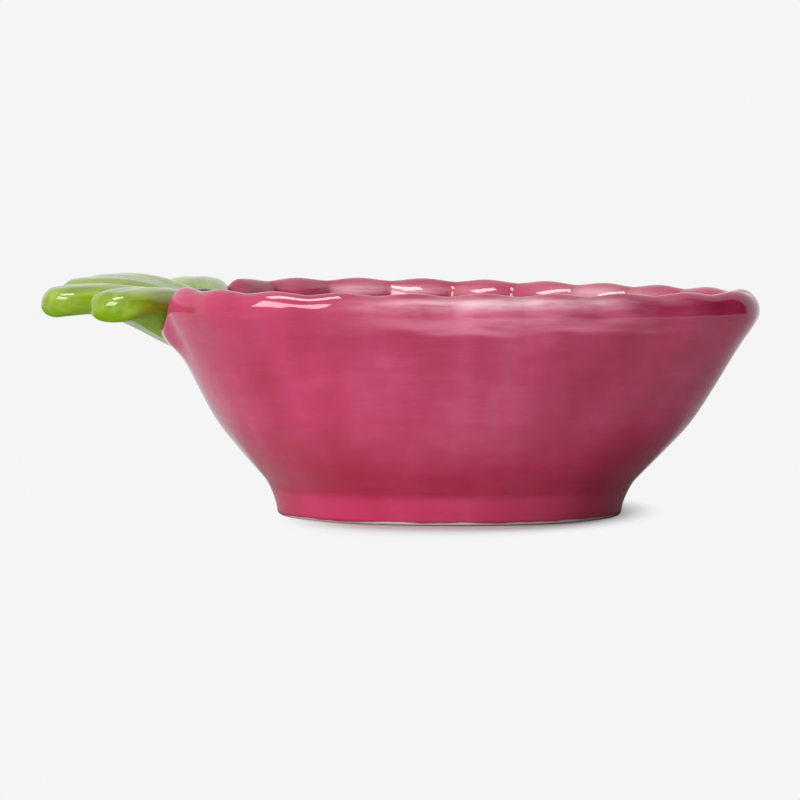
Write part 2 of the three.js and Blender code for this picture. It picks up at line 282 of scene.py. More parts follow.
# Camera and photograph
PICTURE_PIXELS = 800
METRES_PER_PIXEL = 0.25 * MM
CAMERA_DISTANCE = 1.5
CAMERA_AZIMUTH = math.radians(11)
CAMERA_HEIGHT = 0.110
CAMERA_SIGHT = 20
SENSOR_WIDTH = 36
AIM_LEFT_OF_FOOT = 12.3 * MM
AIM_HEIGHT = 28.6 * MM
BACKGROUND_GREY = 0.913

# Floor and light
FLOOR_COLOUR = (0.85, 0.9, 0.9, 1)
# Painted shadow: a dark ring on the floor round the foot
PAINTED_CONTACT_SHADOW = (0.30, 0.32, 0.32, 1)
PAINTED_SHADOW_FADE = (0.99, 1.08)
SHADOW_LENGTH = 95 * MM
SHADOW_SHIFT = 6 * MM
SHADOW_WIDTH = 170 * MM
SHADOW_FADE_START = 0.6
REFLECTED_FADE_END = 0.4
FLOOR_HALF_SIZE = 4.0
AMBIENT = 0.26
BOARD_GREY = 0.03
BOARD_DISTANCE = 0.8
BOARD_HALF_WIDTH = 0.9
BOARD_HEIGHT = 1.6
BOARD_BEARING = math.radians(58)
MATT = 0.9
MIRROR_RAYS = ("Is Glossy Ray", "Is Transmission Ray")


# Curves

def smooth_step(x, low, high):
    t = np.clip((x - low) / (high - low), 0, 1)
    return t * t * (3 - 2 * t)


def mix(a, b, share):
    return a + (b - a) * share


def bezier(points, t):
    p = np.asarray(points, float)
    t = np.asarray(t, float)[..., None]
    if len(p) == 3:
        return (1 - t) ** 2 * p[0] + 2 * t * (1 - t) * p[1] + t ** 2 * p[2]
    return (1 - t) ** 3 * p[0] + 3 * t * (1 - t) ** 2 * p[1] + 3 * t ** 2 * (1 - t) * p[2] + t ** 3 * p[3]


def spline(points, t):
    """Points along a smooth curve through the given points, t running from 0 to 1."""
    p = np.asarray(points, float)
    place = np.clip(np.asarray(t, float) * (len(p) - 1), 0, len(p) - 1 - 1e-9)
    i = place.astype(int)
    before, start, end, after = (p[np.clip(i + k, 0, len(p) - 1)] for k in (-1, 0, 1, 2))
    w = (place - i)[..., None]
    leave, arrive = (end - before) / 2, (after - start) / 2
    cubic = (2 * start - 2 * end + leave + arrive) * w ** 3
    return cubic + (3 * end - 3 * start - 2 * leave - arrive) * w ** 2 + leave * w + start


class Outline:
    """A closed outline in plan, starting at the berry's tip, taken by its arc length."""

    def __init__(self, tip_reach, calyx_reach, half_width, taper):
        self.middle = (tip_reach - calyx_reach) / 2
        self.half_length = (tip_reach + calyx_reach) / 2
        self.half_width = half_width
        self.taper = taper
        self.angles = np.linspace(0, 2 * math.pi, OUTLINE_STEPS + 1)
        steps = np.linalg.norm(np.diff(self.at_angle(self.angles), axis=0), axis=1)
        along = np.concatenate([[0], np.cumsum(steps)])
        self.length = along[-1]
        self.shares = along / self.length

    def at_angle(self, angle):
        x = self.middle + self.half_length * np.cos(angle)
        y = self.half_width * np.sin(angle) * (1 - self.taper * np.cos(angle))
        return np.stack([x, y], -1)

    def normal(self, u):
        angle = np.interp(u % 1, self.shares, self.angles)
        dx = -self.half_length * np.sin(angle)
        dy = self.half_width * (np.cos(angle) - self.taper * np.cos(2 * angle))
        size = np.hypot(dx, dy)
        return np.stack([dy / size, -dx / size], -1)

    def outwards(self, u, offset):
        angle = np.interp(u % 1, self.shares, self.angles)
        return self.at_angle(angle) + self.normal(u) * np.asarray(offset)[..., None]


foot_outline = Outline(FOOT_LENGTH / 2, FOOT_LENGTH / 2, FOOT_WIDTH / 2, 0)
rim_outline = Outline(TIP_REACH, CALYX_REACH, RIM_HALF_WIDTH, TIP_TAPER)

WALL_PROFILE = [(out, mix(FOOT_HEIGHT, LIP_HEIGHT, up)) for out, up in WALL_SHAPE]
FLOOR_RADIUS = (FOOT_LENGTH + FOOT_WIDTH) / 4 - FLOOR_INSET
MOUTH_RADIUS = rim_outline.length / (2 * math.pi) - LIP_WIDTH
INSIDE_PROFILE = [
    (MOUTH_RADIUS, LIP_HEIGHT),
    (mix(FLOOR_RADIUS, MOUTH_RADIUS, BEND_SHARE), FLOOR_HEIGHT + BEND_RISE),
    (FLOOR_RADIUS, FLOOR_HEIGHT),
    (0, FLOOR_HEIGHT),
]


def even_bezier(points, v):
    """Points at even steps of length along a Bezier curve."""
    t = np.linspace(0, 1, CURVE_STEPS + 1)
    curve = bezier(points, t)
    along = np.concatenate([[0], np.cumsum(np.linalg.norm(np.diff(curve, axis=0), axis=1))])
    return bezier(points, np.interp(v, along / along[-1], t))


# The bowl's surface

def shelf_share(u):
    from_middle = np.abs(u % 1 - 0.5) * rim_outline.length
    return 1 - smooth_step(from_middle, SHELF_HALF_LENGTH, SHELF_HALF_LENGTH + SHELF_BLEND)


def across_row(u, count, shift):
    """Height of a row's drupelets across u, with the crease between two of them softened by the glaze."""
    place = u * count - shift
    away = 2 * np.abs(place - np.round(place))
    return 1 - away ** 2 * (1 - CREASE_SOFTNESS * smooth_step(away, CREASE_START, 1))


def rim_drupelet(u):
    return across_row(u, RIM_DRUPELETS, RIM_DRUPELET_SHIFT) * (1 - shelf_share(u))


def outer_drupelet(u):
    """The rim's drupelets as the glaze rounds them on the outside, without a crease between them."""
    place = u * RIM_DRUPELETS - RIM_DRUPELET_SHIFT
    return (1 + np.cos(2 * math.pi * place)) / 2 * (1 - shelf_share(u))


def soft_max(heights):
    sharp = 12
    return np.log(np.exp(sharp * np.stack(heights)).sum(0)) / sharp


def inside_drupelet(u, v):
    rows = len(DRUPELETS_IN_ROWS)
    heights = [np.zeros_like(u), 1 - ((1 - v) * rows / ROW_REACH) ** 2]
    for row, count in enumerate(DRUPELETS_IN_ROWS):
        across = across_row(u, count, RIM_DRUPELET_SHIFT + row / 2)
        along = ((v * rows - row) / ROW_REACH) ** 2
        heights.append(1 - CREASE_SHARE * (1 - across) - along)
    return soft_max(heights)


def rim_rise(u):
    return -RIM_TILT * np.cos(2 * math.pi * u) - SHELF_DROP * shelf_share(u)


def upright(plan, height):
    return np.concatenate([plan, np.broadcast_to(height, plan.shape[:-1])[..., None]], -1)


def belly(u, height):
    """The swelling of the long sides, which is greatest a third of the way up."""
    up = np.clip((height - FOOT_HEIGHT) / (LIP_HEIGHT - FOOT_HEIGHT), 0, 1)
    at_peak = 4 / 27
    return BELLY * np.sin(2 * math.pi * u) ** 2 * up * (1 - up) ** 2 / at_peak


def way_out(u, share, swollen):
    """The outline at a share of the way from the foot's to the rim's, moved outwards by the swelling."""
    return mix(foot_outline.outwards(u, swollen), rim_outline.outwards(u, swollen), share)


def wall_points(u, share):
    profile = spline(WALL_PROFILE, share)
    plan = way_out(u, mix(FOOT_FLARE_SHARE, 1, profile[..., :1]), belly(u, profile[..., 1]))
    fade = smooth_step(profile[..., 1], DRUPELET_FADE_START, LIP_HEIGHT)
    swell = (DRUPELET_OUT * outer_drupelet(u) * fade)[..., None] * rim_outline.normal(u)
    return upright(plan + swell, profile[..., 1] + rim_rise(u) * fade)


def lip_points(u, turn):
    angle = math.pi * turn
    width = LIP_WIDTH + SHELF_WIDTH * shelf_share(u)
    swell = mix(outer_drupelet(u), rim_drupelet(u), smooth_step(turn, *CREASE_ON_LIP))
    side = np.where(np.cos(angle) > 0, DRUPELET_OUT, DRUPELET_IN)
    reach = width / 2 + side * swell * np.abs(np.cos(angle))
    rise = LIP_RISE + DRUPELET_UP * swell
    offset = -width / 2 + reach * np.cos(angle)
    return upright(rim_outline.outwards(u, offset), LIP_HEIGHT + rim_rise(u) + rise * np.sin(angle))


def inside_base(u, v):
    profile = even_bezier(INSIDE_PROFILE, v)
    swollen = belly(u, profile[..., 1])
    low = foot_outline.outwards(u, swollen - FLOOR_INSET)
    high = rim_outline.outwards(u, swollen - LIP_WIDTH - SHELF_WIDTH * shelf_share(u))
    share = ((profile[..., 0] - FLOOR_RADIUS) / (MOUTH_RADIUS - FLOOR_RADIUS))[..., None]
    plan = np.where(share > 0, mix(low, high, share), low * (profile[..., :1] / FLOOR_RADIUS))
    near_rim = smooth_step(profile[..., 1], FLOOR_HEIGHT, LIP_HEIGHT)
    return upright(plan, profile[..., 1] + rim_rise(u) * near_rim)


def inside_points(u, v):
    step = 1e-3
    across = inside_base(u + step, v) - inside_base(u - step, v)
    along = inside_base(u, np.minimum(v + step, 1)) - inside_base(u, np.maximum(v - step, 0))
    normal = np.cross(across, along)
    normal /= np.maximum(np.linalg.norm(normal, axis=-1, keepdims=True), 1e-12)
    keep = 1 - (1 - v) ** 3 * shelf_share(u)
    height = mix(DRUPELET_IN, DRUPELET_IN_AT_FLOOR, v) * inside_drupelet(u, v) * keep
    return inside_base(u, v) + normal * height[..., None]


# Meshes

def grid_mesh(name, rings, materials, ring_slots=None, loop=False):
    """A closed mesh from rings of points, its ends joined in a loop or closed by a point in their middle."""
    rings = np.asarray(rings, float)
    count, columns = rings.shape[:2]
    points = rings.reshape(-1, 3)
    here = np.arange(columns)
    onward = (here + 1) % columns
    ring_slots = ring_slots or [0] * count
    faces, slots = [], []
    pairs = count if loop else count - 1
    for i in range(pairs):
        ring = i * columns
        following = (i + 1) % count * columns
        corners = [ring + here, ring + onward, following + onward, following + here]
        faces.extend(np.stack(corners, -1).tolist())
        slots.extend([ring_slots[i]] * columns)
    if not loop:
        last = (count - 1) * columns
        pole = np.full(columns, len(points))
        faces.extend(np.stack([onward, here, pole], -1).tolist())
        faces.extend(np.stack([last + here, last + onward, pole + 1], -1).tolist())
        slots.extend([ring_slots[0]] * columns + [ring_slots[pairs - 1]] * columns)
        points = np.vstack([points, rings[0].mean(0), rings[-1].mean(0)])
    mesh = bpy.data.meshes.new(name)
    mesh.from_pydata((points + np.array([FOOT_MIDDLE_X, 0, 0])).tolist(), [], faces)
    for material in materials:
        mesh.materials.append(material)
    mesh.polygons.foreach_set("material_index", slots)
    mesh.polygons.foreach_set("use_smooth", [True] * len(faces))
    mesh.update()
    piece = bpy.data.objects.new(name, mesh)
    bpy.context.scene.collection.objects.link(piece)
    return piece


def point_values(piece, name, values, kind="FLOAT"):
    """Values at the mesh's points, the points that close its ends taking the last one's."""
    values = np.asarray(values, np.float32)
    extra = len(piece.data.vertices) - len(values)
    full = np.concatenate([values, np.repeat(values[-1:], extra, axis=0)])
    layer = piece.data.attributes.new(name, kind, "POINT")
    layer.data.foreach_set("vector" if kind == "FLOAT_VECTOR" else "value", full.ravel())


# Materials

def new_material(name):
    material = bpy.data.materials.new(name)
    material.use_nodes = True
    nodes = material.node_tree.nodes
    nodes.clear()
    output = nodes.new("ShaderNodeOutputMaterial")
    shader = nodes.new("ShaderNodeBsdfPrincipled")
    material.node_tree.links.new(shader.outputs["BSDF"], output.inputs["Surface"])
    return material, nodes, material.node_tree.links, shader


def linear(red, green, blue):
    """A colour written in the 0 to 255 steps of a screen, as Blender's linear values."""
    srgb = np.array([red, green, blue]) / 255
    values = np.where(srgb <= 0.04045, srgb / 12.92, ((srgb + 0.055) / 1.055) ** 2.4)
    return (*values.tolist(), 1)


def toned(nodes, links, value, places, colours):
    """A run of colours, each at its place on a value between 0 and 1."""
    node = nodes.new("ShaderNodeValToRGB")
    elements = node.color_ramp.elements
    while len(elements) < len(places):
        elements.new(0.5)
    for element, place, colour in zip(elements, places, colours):
        element.position = place
        element.color = linear(*colour)
    links.new(value, node.inputs["Fac"])
    return node.outputs["Color"]


def noise(nodes, links, coordinates, fineness, detail, shift=(0, 0, 0)):
    """A cloudy pattern between 0 and 1, whose fineness is one number or one for each axis."""
    mapping = nodes.new("ShaderNodeMapping")
    mapping.inputs["Scale"].default_value = np.broadcast_to(fineness, 3).tolist()
    mapping.inputs["Location"].default_value = shift
    links.new(coordinates, mapping.inputs["Vector"])
    node = nodes.new("ShaderNodeTexNoise")
    node.inputs["Scale"].default_value = 1
    node.inputs["Detail"].default_value = detail
    links.new(mapping.outputs["Vector"], node.inputs["Vector"])
    return node.outputs["Fac"]


def mixed(nodes, links, kind, factor, first, second):
    """Two colours or values mixed, each given by a socket or as it is."""
    node = nodes.new("ShaderNodeMix")
    node.data_type = "RGBA"
    node.blend_type = kind
    for socket, value in (("Factor", factor), ("A", first), ("B", second)):
        target = [s for s in node.inputs if s.name == socket and s.enabled][0]
        if isinstance(value, (int, float, tuple)):
            target.default_value = value
        else:
            links.new(value, target)
    return [s for s in node.outputs if s.enabled][0]


def attribute(nodes, name):
    node = nodes.new("ShaderNodeAttribute")
    node.attribute_name = name
    return node.outputs["Fac"]


def gloss(shader, coat=1.0, coat_roughness=GLAZE_ROUGHNESS):
    """Coloured clay under one clear glossy layer."""
    shader.inputs["Roughness"].default_value = UNDER_GLAZE_ROUGHNESS
    shader.inputs["Specular IOR Level"].default_value = 0
    shader.inputs["Coat Weight"].default_value = coat
    shader.inputs["Coat Roughness"].default_value = coat_roughness
    shader.inputs["Coat IOR"].default_value = GLAZE_IOR


def bumped(nodes, links, shader, height, strength, distance):
    node = nodes.new("ShaderNodeBump")
    node.inputs["Strength"].default_value = strength
    node.inputs["Distance"].default_value = distance
    links.new(height, node.inputs["Height"])
    links.new(node.outputs["Normal"], shader.inputs["Normal"])
    links.new(node.outputs["Normal"], shader.inputs["Coat Normal"])


def wiped_edge(nodes, links, place, colour):
    """The colour with the glaze wiped off, unevenly, along the foot's lower edge."""
    split = nodes.new("ShaderNodeSeparateXYZ")
    links.new(place, split.inputs["Vector"])
    edge = nodes.new("ShaderNodeMath")
    edge.operation = "MULTIPLY_ADD"
    edge.inputs[1].default_value = -2 * BARE_EDGE
    links.new(noise(nodes, links, place, BARE_EDGE_FINENESS, detail=3), edge.inputs[0])
    links.new(split.outputs["Z"], edge.inputs[2])
    glazed = nodes.new("ShaderNodeMapRange")
    glazed.inputs["From Min"].default_value = -BARE_EDGE / 2
    glazed.inputs["From Max"].default_value = -BARE_EDGE / 4
    links.new(edge.outputs["Value"], glazed.inputs["Value"])
    return mixed(nodes, links, "MIX", glazed.outputs["Result"], linear(*CLAY_EDGE), colour)


def raspberry_glaze():
    """Pink glaze laid on in soft level strokes, with a painted reflection and a painted highlight along the
    near rim, glaze thin elsewhere on the rim, the foot painted lighter as lit, and creases and the lower
    wall darker as pooled glaze and painted shade.
    """
    material, nodes, links, shader = new_material("raspberry_glaze")
    place = nodes.new("ShaderNodeTexCoord").outputs["Object"]
    clouds = noise(nodes, links, place, CLOUD_FINENESS, detail=3, shift=CLOUD_SHIFT)
    strokes = noise(nodes, links, place, STROKE_FINENESS, detail=4)
    hairs = noise(nodes, links, place, HAIR_FINENESS, detail=3)
    tone = mixed(nodes, links, "MIX", STROKE_SHARE, clouds, strokes)
    tone = mixed(nodes, links, "MIX", HAIR_SHARE, tone, hairs)
    colour = toned(nodes, links, tone, PINK_TONE_PLACES, PINK_TONES)
    patchy = toned(nodes, links, strokes, PATCH_PLACES, PATCH_COLOURS)
    # Painted reflection: a pale band along the near front of the rim, with glaze brushed thin elsewhere on
    # the rim
    reflection_and_thin_glaze = mixed(nodes, links, "MULTIPLY", PALE_BAND_PATCHINESS, attribute(nodes, "reflection_and_thin_glaze"), patchy)
    colour = mixed(nodes, links, "MIX", reflection_and_thin_glaze, colour, linear(*PINK_REFLECTED_AND_THIN))
    # Painted highlight along the outer lip
    edge = mixed(nodes, links, "MULTIPLY", HIGHLIGHT_PATCHINESS, attribute(nodes, "edge"), patchy)
    colour = mixed(nodes, links, "MIX", edge, colour, linear(*PINK_HIGHLIGHT))
    # Painted light: the foot's face lighter
    colour = mixed(nodes, links, "MIX", attribute(nodes, "foot"), colour, linear(*PINK_FOOT_LIT))
    # Darker in creases and up the lower wall: pooled glaze and painted shade
    colour = mixed(nodes, links, "MIX", attribute(nodes, "crease"), colour, linear(*PINK_POOLED_AND_SHADED))
    links.new(wiped_edge(nodes, links, place, colour), shader.inputs["Base Color"])
    gloss(shader)
    waves = noise(nodes, links, place, PINK_WAVE_FINENESS, detail=2)
    bumped(nodes, links, shader, waves, strength=0.12, distance=0.6 * MM)
    return material


def leaf_glaze():
    """Yellow-green glaze brushed along the sepals, less glossy and shaded darker underneath, with a pale
    painted reflection under their roots.
    """
    material, nodes, links, shader = new_material("leaf_glaze")
    along = nodes.new("ShaderNodeAttribute")
    along.attribute_name = "along_sepal"
    strokes = noise(nodes, links, along.outputs["Vector"], LEAF_STROKE_FINENESS, detail=4)
    clouds = noise(nodes, links, along.outputs["Vector"], LEAF_CLOUD_FINENESS, detail=2)
    tone = mixed(nodes, links, "MIX", LEAF_CLOUD_SHARE, strokes, clouds)
    colour = toned(nodes, links, tone, LEAF_TONE_PLACES, LEAF_TONES)
    underside = attribute(nodes, "underside")
    colour = mixed(nodes, links, "MIX", attribute(nodes, "thin"), colour, linear(*LEAF_THIN))
    colour = mixed(nodes, links, "MIX", underside, colour, linear(*LEAF_UNDERSIDE))
    # Painted reflection: pale under the sepals' roots
    colour = mixed(nodes, links, "MIX", attribute(nodes, "pale"), colour, linear(*LEAF_ROOT_REFLECTION))
    links.new(colour, shader.inputs["Base Color"])
    gloss(shader)
    coat = nodes.new("ShaderNodeMapRange")
    coat.inputs["From Max"].default_value = UNDERSIDE_COAT_AT
    coat.inputs["To Min"].default_value = 1
    coat.inputs["To Max"].default_value = UNDERSIDE_COAT
    links.new(underside, coat.inputs["Value"])
    links.new(coat.outputs["Result"], shader.inputs["Coat Weight"])
    place = nodes.new("ShaderNodeTexCoord").outputs["Object"]
    waves = noise(nodes, links, place, LEAF_WAVE_FINENESS, detail=2)
    bumped(nodes, links, shader, waves, strength=0.15, distance=0.5 * MM)
    return material


def dark_glaze():
    """Blackish green glaze on the stalk stub."""
    material, nodes, links, shader = new_material("dark_glaze")
    place = nodes.new("ShaderNodeTexCoord").outputs["Object"]
    spots = noise(nodes, links, place, STUB_SPOT_FINENESS, detail=3)
    colour = toned(nodes, links, spots, STUB_TONE_PLACES, STUB_TONES)
    links.new(colour, shader.inputs["Base Color"])
    gloss(shader)
    return material


def cream_glaze():
    """Thin pale glaze inside the foot, with the clay showing through."""
    material, nodes, links, shader = new_material("cream_glaze")
    place = nodes.new("ShaderNodeTexCoord").outputs["Object"]
    clouds = noise(nodes, links, place, CREAM_CLOUD_FINENESS, detail=5)
    colour = toned(nodes, links, clouds, CREAM_TONE_PLACES, CREAM_TONES)
    links.new(colour, shader.inputs["Base Color"])
    gloss(shader, THIN_GLAZE_COAT, THIN_GLAZE_ROUGHNESS)
    waves = noise(nodes, links, place, CREAM_WAVE_FINENESS, detail=3)
    bumped(nodes, links, shader, waves, strength=0.2, distance=0.4 * MM)
    return material


def bare_clay():
    """The unglazed ring on which the bowl was fired, slightly gritty."""
    material, nodes, links, shader = new_material("bare_clay")
    place = nodes.new("ShaderNodeTexCoord").outputs["Object"]
    grit = noise(nodes, links, place, CLAY_GRIT_FINENESS, detail=6)
    colour = toned(nodes, links, grit, CLAY_TONE_PLACES, CLAY_TONES)
    links.new(colour, shader.inputs["Base Color"])
    shader.inputs["Roughness"].default_value = BARE_CLAY_ROUGHNESS
    bumped(nodes, links, shader, grit, strength=0.4, distance=0.3 * MM)
    return material


RASPBERRY = raspberry_glaze()
LEAF = leaf_glaze()
DARK = dark_glaze()
CREAM = cream_glaze()
CLAY = bare_clay()


# Pieces

def finish_piece(piece, slot, *nodes):
    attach(piece, "root")
    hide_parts(*nodes)
    return piece


def rim_reflection_and_thin_glaze(u):
    """Where the rim is painted paler: a painted reflection along its near front, and glaze brushed thin at
    two places on the far side.
    """
    total = 0 * u
    for place, reach, strength in RIM_PALE_BANDS:
        away = np.abs((u - place + 0.5) % 1 - 0.5)
        total = total + strength * (1 - smooth_step(away, 0, reach))
    return total


def cove(height):
    """How much darker the glaze is where the foot meets the wall: glaze pooled at the join, and painted
    shade up the downward-facing lower wall.
    """
    on_wall = 1 - smooth_step(height - FOOT_HEIGHT, 0, COVE_REACH)
    on_foot = 1 - smooth_step(FOOT_HEIGHT - height, 0, COVE_DEPTH)
    return COVE_POOL_AND_SHADE * on_wall * on_foot


def rounded_off(rings, low, high):
    """Rings with the line along which two surfaces meet softened by the glaze."""
    rings = np.asarray(rings, float)
    for _ in range(SOFTENING_PASSES):
        below, above = rings[low - 1:high - 1], rings[low + 1:high + 1]
        rings[low:high] = (below + 2 * rings[low:high] + above) / 4
    return rings


def bowl_wall():
    """The wall from the recess under its floor up the outside, over the lip and down the inside."""
    u = np.arange(COLUMNS) / COLUMNS
    pink, cream = 0, 1
    rings, slots = [], []

    def add(points, slot=pink):
        rings.append(points)
        slots.append(slot)

    boss = foot_outline.outwards(u, -FOOT_RING_WIDTH + 0 * u)
    for share in np.linspace(FIRST_RING_SHARE, 1, RECESS_RINGS):
        add(upright(boss * share, RECESS_DEPTH + 0 * u), cream)
    start = wall_points(u, 0 * u)
    following = wall_points(u, 0 * u + 1 / WALL_RINGS)
    climb = (following - start) / (following - start)[:, 2:]
    sunk = start - FOOT_JOIN_DEPTH * climb
    add(upright(boss, sunk[:, 2]))
    add(sunk)
    for i in range(WALL_RINGS):
        add(wall_points(u, np.full_like(u, i / WALL_RINGS)))
    lip_start = len(rings)
    for i in range(LIP_RINGS + 1):
        add(lip_points(u, np.full_like(u, i / LIP_RINGS)))
    inside_start = len(rings)
    inside_rings = len(DRUPELETS_IN_ROWS) * RINGS_PER_ROW
    for i in range(1, inside_rings):
        add(inside_points(u, np.full_like(u, i / inside_rings)))
    rings = rounded_off(rings, lip_start - SOFT_RINGS_BELOW_LIP, lip_start + SOFT_RINGS_ON_LIP)
    piece = grid_mesh("bowl_wall_glazed", rings, [RASPBERRY, CREAM], slots)

    # Pale bands on the outer lip and upper wall: a painted reflection on the near front, glaze brushed thin
    # elsewhere
    pale_band_stop = lip_start + LIP_RINGS // 3
    lip_middle = lip_start + LIP_RINGS // 2
    valley = (1 - across_row(u, RIM_DRUPELETS, RIM_DRUPELET_SHIFT)) ** 2 * (1 - shelf_share(u))
    wave = sum(share * np.sin(2 * math.pi * count * u) for count, share in PALE_BAND_WAVES)
    pale_band_end = LIP_HEIGHT - PALE_BAND_DEPTH * (1 + wave)
    crease, reflection_and_thin_glaze, edge = [], [], []
    for i, ring in enumerate(rings):
        height = ring[:, 2]
        near_lip = smooth_step(height, pale_band_end, pale_band_end + PALE_BAND_FADE_SHARE * PALE_BAND_DEPTH)
        reflection_and_thin_glaze.append(rim_reflection_and_thin_glaze(u) * near_lip * (i < pale_band_stop))
        # Painted highlight: a near-white line along the outer lip, over the pale bands
        on_highlight_line = np.exp(-((height - LIP_HEIGHT - HIGHLIGHT_HEIGHT) / HIGHLIGHT_SPREAD) ** 2)
        edge.append(rim_reflection_and_thin_glaze(u) * on_highlight_line * (i < inside_start))
        # Darker where glaze pools and shade falls: painted shade up the lower wall and in the valleys
        # between drupelets
        if i < inside_start:
            pool_and_shade = OUTER_LIP_POOL_AND_SHADE if i < lip_middle else INNER_LIP_POOL_AND_SHADE
            rim = smooth_step(height, LIP_HEIGHT - LIP_RISE, LIP_HEIGHT + LIP_RISE / 2)
            crease.append(cove(height) + pool_and_shade * valley * rim)
        else:
            v = np.full_like(u, (i - inside_start + 1) / inside_rings)
            crease.append(INSIDE_POOL_AND_SHADE * np.clip(1 - inside_drupelet(u, v), 0, 1) ** 2)
    point_values(piece, "crease", np.concatenate(crease))
    point_values(piece, "reflection_and_thin_glaze", np.concatenate(reflection_and_thin_glaze))
    point_values(piece, "edge", np.concatenate(edge))
    return finish_piece(piece, "raspberry_glaze", "bowl_wall")


def foot_ring():
    """The foot from its inner lower edge over the standing edge, up its flared side and down its inside."""
    u = np.arange(COLUMNS) / COLUMNS
    pink, clay, cream = 0, 1, 2
    rings, slots = [], []

    def add(plan, height, slot):
        rings.append(upright(plan, height + 0 * u))
        slots.append(slot)

    def offset_by(offset):
        return foot_outline.outwards(u, offset + 0 * u)

    def flared(share):
        return way_out(u, FOOT_FLARE_SHARE * share ** FOOT_FLARE_CURVE, 0 * u)

    for angle in np.linspace(0, math.pi / 2, FOOT_INNER_RINGS):
        inset = FOOT_INNER_RADIUS * (1 - math.sin(angle))
        add(offset_by(-FOOT_RING_WIDTH + FOOT_INNER_RADIUS - inset), FOOT_INNER_RADIUS - inset, clay)
    for angle in np.linspace(0, math.pi / 2, FOOT_EDGE_RINGS):
        inset = FOOT_EDGE_RADIUS * (1 - math.sin(angle))
        height = FOOT_EDGE_RADIUS * (1 - math.cos(angle))
        add(offset_by(-inset), height, pink)
    for share in np.linspace(FIRST_RING_SHARE, 1, FOOT_FLARE_RINGS):
        add(flared(share), mix(FOOT_EDGE_RADIUS, FOOT_HEIGHT, share), pink)
    top = FOOT_HEIGHT + FOOT_JOIN_DEPTH / 2
    add(flared((top - FOOT_EDGE_RADIUS) / (FOOT_HEIGHT - FOOT_EDGE_RADIUS)), top, pink)
    add(offset_by(-FOOT_RING_WIDTH), top, cream)
    add(offset_by(-FOOT_RING_WIDTH), 2 * FOOT_INNER_RADIUS, cream)
    piece = grid_mesh("foot_ring_glazed", rings, [RASPBERRY, CLAY, CREAM], slots, loop=True)
    heights = np.concatenate(rings)[:, 2]
    point_values(piece, "crease", cove(heights))
    # Painted light: the foot's face made lighter below the cove
    point_values(piece, "foot", FOOT_LIGHT_SHARE * smooth_step(FOOT_HEIGHT - heights, 0, COVE_DEPTH))
    return finish_piece(piece, "raspberry_glaze", "foot_ring")


def rounding(past_start, end_length):
    """How far a rounded end, which stops short of a point, draws a section in past the end's start."""
    return math.sqrt(1 - min(max(past_start / end_length, 0), SEPAL_TIP_END) ** 2)


def fuller(values):
    return np.sign(values) * np.abs(values) ** SEPAL_FULLNESS


